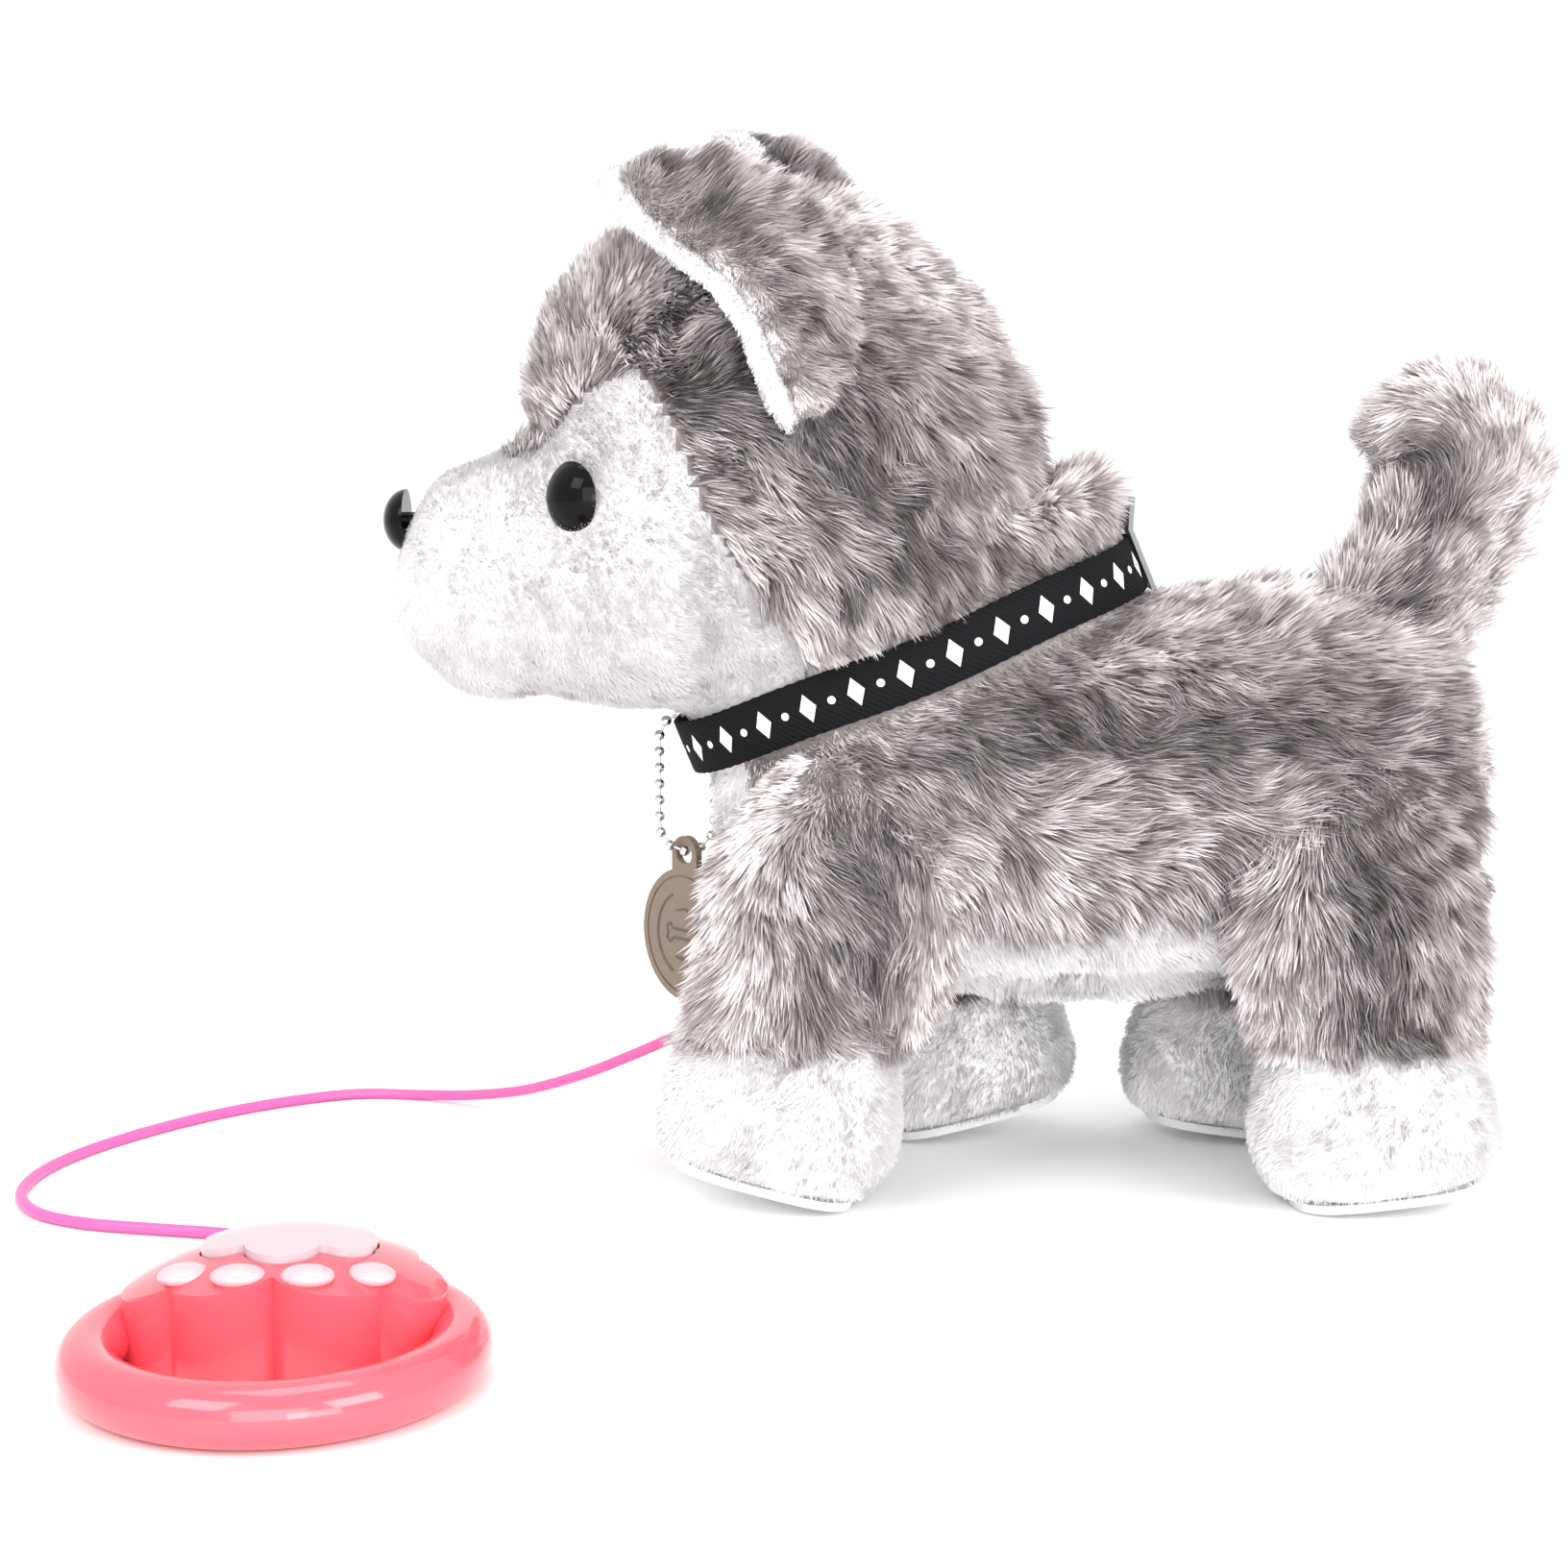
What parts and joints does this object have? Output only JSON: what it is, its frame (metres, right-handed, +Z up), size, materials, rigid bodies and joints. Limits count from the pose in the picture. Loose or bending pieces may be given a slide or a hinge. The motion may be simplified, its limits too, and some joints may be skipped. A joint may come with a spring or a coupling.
{
  "type": "walking plush dog with corded hand control",
  "caption": "Motorised plush puppy that walks on four coupled legs, with a sprung tail, a hanging collar tag and a paw-shaped hand control on a short cord.",
  "frame": {"origin": "on the floor, in the dog's middle plane, halfway between the front and the rear hip axles", "axes": "+X from the nose to the tail, +Y to the dog's right side, +Z up; the hand control stands in front of the dog's left side"},
  "size_m": [0.3323, 0.2391, 0.2233],
  "materials": {
    "grey_plush": "long shaggy pile",
    "white_plush": "short soft pile",
    "leg_plush": "soft pile, grey above and white at the paw",
    "sole_cloth": "ribbed sole cloth",
    "stuffing": "polyester fibre",
    "webbing": "woven polyester webbing",
    "chassis_plastic": "moulded, matt",
    "gear_plastic": "moulded acetal",
    "black_gloss": "polished",
    "black_plastic": "moulded",
    "steel": "bright",
    "bead_metal": "nickel plated",
    "tag_metal": "satin taupe coating",
    "clip_metal": "dark grey satin",
    "circuit_board": "solder mask",
    "cell_jacket": "printed jacket, plain",
    "coral_plastic": "gloss moulded",
    "blush_plastic": "gloss moulded",
    "silicone": "translucent silicone",
    "cord_jacket": "soft vinyl jacket"
  },
  "bodies": {
    "root": {"chassis_left": "chassis_plastic", "chassis_right": "chassis_plastic", "chassis_screws": "steel", "battery_door": "chassis_plastic", "battery_cells": "cell_jacket", "battery_contacts": "steel", "leg_axles": "steel", "axle_clips": "black_plastic", "gear_pins": "steel", "motor": "steel", "main_board": "circuit_board", "speaker": "black_plastic", "neck_frame": "chassis_plastic", "body_skin": "grey_plush", "belly_skin": "white_plush", "head_skin": "grey_plush", "face_skin": "white_plush", "head_stuffing": "stuffing", "ears": "grey_plush", "ear_linings": "white_plush", "eyes": "black_gloss", "nose": "black_gloss", "face_washers": "gear_plastic", "collar_strap": "webbing", "collar_clip": "clip_metal", "cord_gland": "cord_jacket", "leash_cord": "cord_jacket", "remote_top": "coral_plastic", "remote_base": "coral_plastic", "button_dome": "silicone", "toe_beans": "blush_plastic", "remote_board": "circuit_board", "remote_screws": "steel", "strain_relief": "cord_jacket"},
    "front_left": {"front_left_leg": "chassis_plastic", "front_left_sleeve": "leg_plush", "front_left_sole": "sole_cloth"},
    "front_right": {"front_right_leg": "chassis_plastic", "front_right_sleeve": "leg_plush", "front_right_sole": "sole_cloth"},
    "rear_left": {"rear_left_leg": "chassis_plastic", "rear_left_sleeve": "leg_plush", "rear_left_sole": "sole_cloth"},
    "rear_right": {"rear_right_leg": "chassis_plastic", "rear_right_sleeve": "leg_plush", "rear_right_sole": "sole_cloth"},
    "crank": {"crank_gear": "gear_plastic", "crank_shaft": "steel", "crank_discs": "gear_plastic"},
    "second": {"second_gear": "gear_plastic"},
    "first": {"first_gear": "gear_plastic"},
    "rotor": {"motor_pinion": "steel"},
    "left_link": {"link_left": "gear_plastic"},
    "right_link": {"link_right": "gear_plastic"},
    "tail": {"tail_lever": "chassis_plastic", "tail_skin": "grey_plush"},
    "tag": {"tag_chain": "bead_metal", "name_tag": "tag_metal"},
    "pad": {"pad_button": "blush_plastic"}
  },
  "joints": [
    {"name": "walk_front_left", "type": "hinge", "parent": "root", "child": "front_left", "pos_m": [-0.048, 0, 0.09839], "axis": [0, 1, 0], "range_deg": [-30, 0]},
    {"name": "walk_front_right", "type": "hinge", "parent": "root", "child": "front_right", "pos_m": [-0.048, 0, 0.09839], "axis": [0, 1, 0], "range_deg": [0, 30.01]},
    {"name": "walk_rear_left", "type": "hinge", "parent": "root", "child": "rear_left", "pos_m": [0.048, 0, 0.09822], "axis": [0, 1, 0], "range_deg": [0, 14.01]},
    {"name": "walk_rear_right", "type": "hinge", "parent": "root", "child": "rear_right", "pos_m": [0.048, 0, 0.09822], "axis": [0, 1, 0], "range_deg": [-14.01, 0]},
    {"name": "crank_turn", "type": "hinge", "parent": "root", "child": "crank", "pos_m": [-0.048, 0, 0.0704], "axis": [0, 1, 0], "range_deg": [-180.01, 0]},
    {"name": "second_gear_turn", "type": "hinge", "parent": "root", "child": "second", "pos_m": [-0.03132, 0, 0.07817], "axis": [0, 1, 0], "range_deg": [0, 648.01]},
    {"name": "first_gear_turn", "type": "hinge", "parent": "root", "child": "first", "pos_m": [-0.01554, 0, 0.08392], "axis": [0, 1, 0], "range_deg": [-2073.61, 0]},
    {"name": "motor_turn", "type": "hinge", "parent": "root", "child": "rotor", "pos_m": [-0.00174, 0, 0.08392], "axis": [0, 1, 0], "range_deg": [0, 7464.97]},
    {"name": "left_link_pin", "type": "hinge", "parent": "front_left", "child": "left_link", "pos_m": [-0.04567, 0, 0.10708], "axis": [0, 1, 0], "range_deg": [0, 30.01]},
    {"name": "right_link_pin", "type": "hinge", "parent": "front_right", "child": "right_link", "pos_m": [-0.05033, 0, 0.10708], "axis": [0, 1, 0], "range_deg": [-30.01, 0]},
    {"name": "tail_wag", "type": "hinge", "parent": "root", "child": "tail", "pos_m": [0.054, 0, 0.11139], "axis": [0, 0, 1], "range_deg": [-15, 15], "stiffness_Nm_per_rad": 0.02},
    {"name": "tag_swing", "type": "hinge", "parent": "root", "child": "tag", "pos_m": [-0.08956, 0, 0.09518], "axis": [0, 1, 0], "range_deg": [0, 5]},
    {"name": "pad_press", "type": "slide", "parent": "root", "child": "pad", "axis": [0, 0, -1], "range_m": [0, 0.0015], "stiffness_N_per_m": 250, "springref_m": -0.001, "deforming": ["button_dome"]}
  ],
  "couplings": [
    {"joint": "walk_front_right", "follows": "walk_front_left", "ratio": -1},
    {"joint": "walk_rear_left", "follows": "walk_front_left", "ratio": -0.46667},
    {"joint": "walk_rear_right", "follows": "walk_front_left", "ratio": 0.46667},
    {"joint": "crank_turn", "follows": "walk_front_left", "ratio": 6},
    {"joint": "second_gear_turn", "follows": "walk_front_left", "ratio": -21.6},
    {"joint": "first_gear_turn", "follows": "walk_front_left", "ratio": 69.12},
    {"joint": "motor_turn", "follows": "walk_front_left", "ratio": -248.83},
    {"joint": "left_link_pin", "follows": "walk_front_left", "ratio": -1},
    {"joint": "right_link_pin", "follows": "walk_front_left", "ratio": 1}
  ]
}
